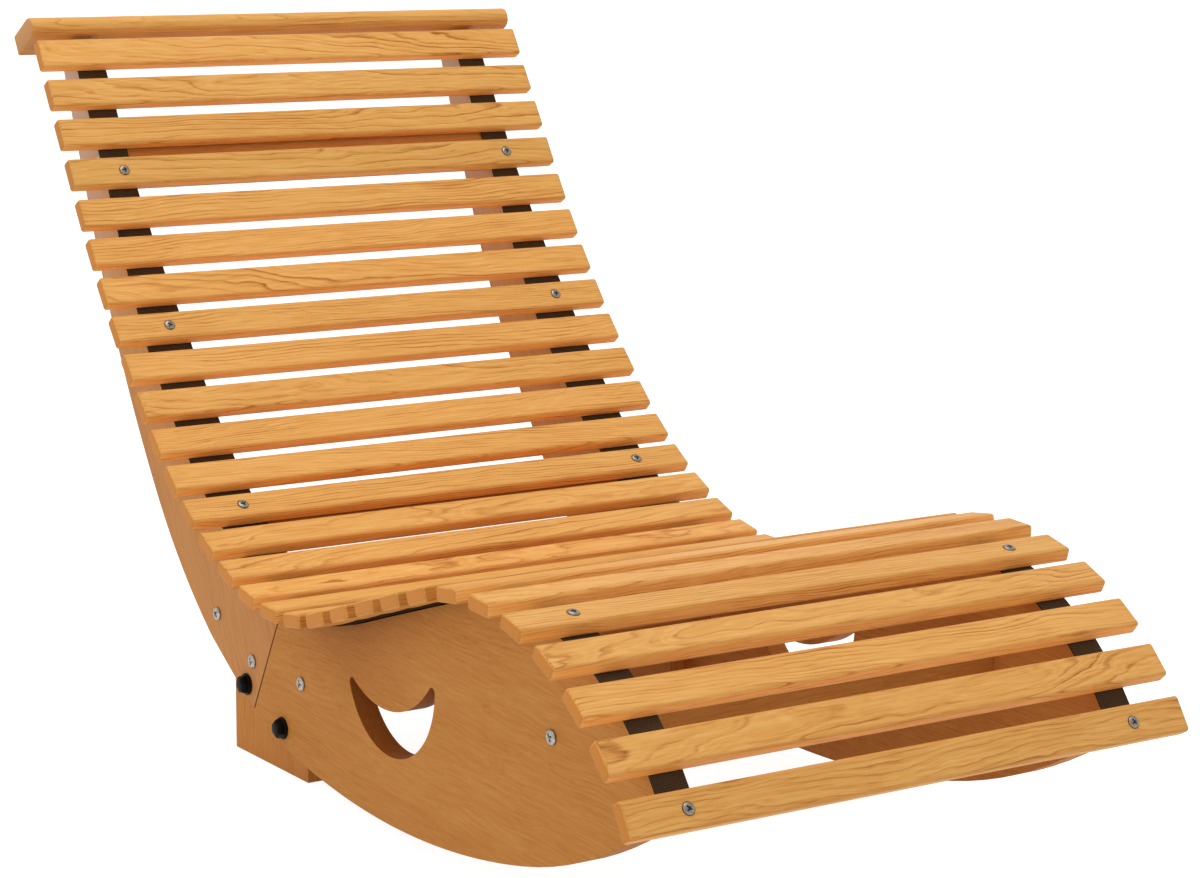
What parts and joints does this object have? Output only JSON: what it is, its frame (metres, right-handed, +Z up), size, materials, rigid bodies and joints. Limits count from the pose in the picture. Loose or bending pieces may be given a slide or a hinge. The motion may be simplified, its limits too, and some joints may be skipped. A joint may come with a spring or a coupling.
{
  "type": "rocking chaise lounge",
  "caption": "Slatted wooden rocking chaise lounge: slats on webbing straps over two curved side boards, with smiling cut-outs, joint plates that park it level and a head rail.",
  "frame": {"origin": "on the ground under the middle of the chaise's bounding box", "axes": "+Z up, +Y towards the head end, +X across the seat towards the sitter's left"},
  "size_m": [0.6, 1.1786, 0.7354],
  "materials": {
    "slat_wood": "golden stained softwood, satin, fine grain along each slat",
    "side_wood": "browner orange stained board, satin, fine grain lines",
    "webbing": "near-black woven webbing",
    "cap_plastic": "black-brown satin bolt caps",
    "screw_steel": "zinc-plated screws"
  },
  "bodies": {
    "root": {"back_board_left": "side_wood", "back_board_right": "side_wood", "back_rail": "side_wood", "cap_bolt_front_left": "cap_plastic", "cap_bolt_front_right": "cap_plastic", "cap_bolt_rear_left": "cap_plastic", "cap_bolt_rear_right": "cap_plastic", "front_rail": "side_wood", "head_rail": "slat_wood", "joint_plate_left": "side_wood", "joint_plate_right": "side_wood", "rear_rail": "side_wood", "rocker_board_left": "side_wood", "rocker_board_right": "side_wood", "seat_rail": "side_wood", "slat_01": "slat_wood", "slat_02": "slat_wood", "slat_03": "slat_wood", "slat_04": "slat_wood", "slat_05": "slat_wood", "slat_06": "slat_wood", "slat_07": "slat_wood", "slat_08": "slat_wood", "slat_09": "slat_wood", "slat_10": "slat_wood", "slat_11": "slat_wood", "slat_12": "slat_wood", "slat_13": "slat_wood", "slat_14": "slat_wood", "slat_15": "slat_wood", "slat_16": "slat_wood", "slat_17": "slat_wood", "slat_18": "slat_wood", "slat_19": "slat_wood", "slat_20": "slat_wood", "slat_21": "slat_wood", "slat_22": "slat_wood", "slat_23": "slat_wood", "slat_24": "slat_wood", "slat_25": "slat_wood", "slat_26": "slat_wood", "slat_27": "slat_wood", "slat_28": "slat_wood", "slat_29": "slat_wood", "slat_30": "slat_wood", "slat_screw_04_left": "screw_steel", "slat_screw_04_right": "screw_steel", "slat_screw_08_left": "screw_steel", "slat_screw_08_right": "screw_steel", "slat_screw_13_left": "screw_steel", "slat_screw_13_right": "screw_steel", "slat_screw_26_left": "screw_steel", "slat_screw_26_right": "screw_steel", "slat_screw_30_left": "screw_steel", "slat_screw_30_right": "screw_steel", "slat_strap_left": "webbing", "slat_strap_right": "webbing", "waist_rail": "side_wood"}
  },
  "joints": []
}
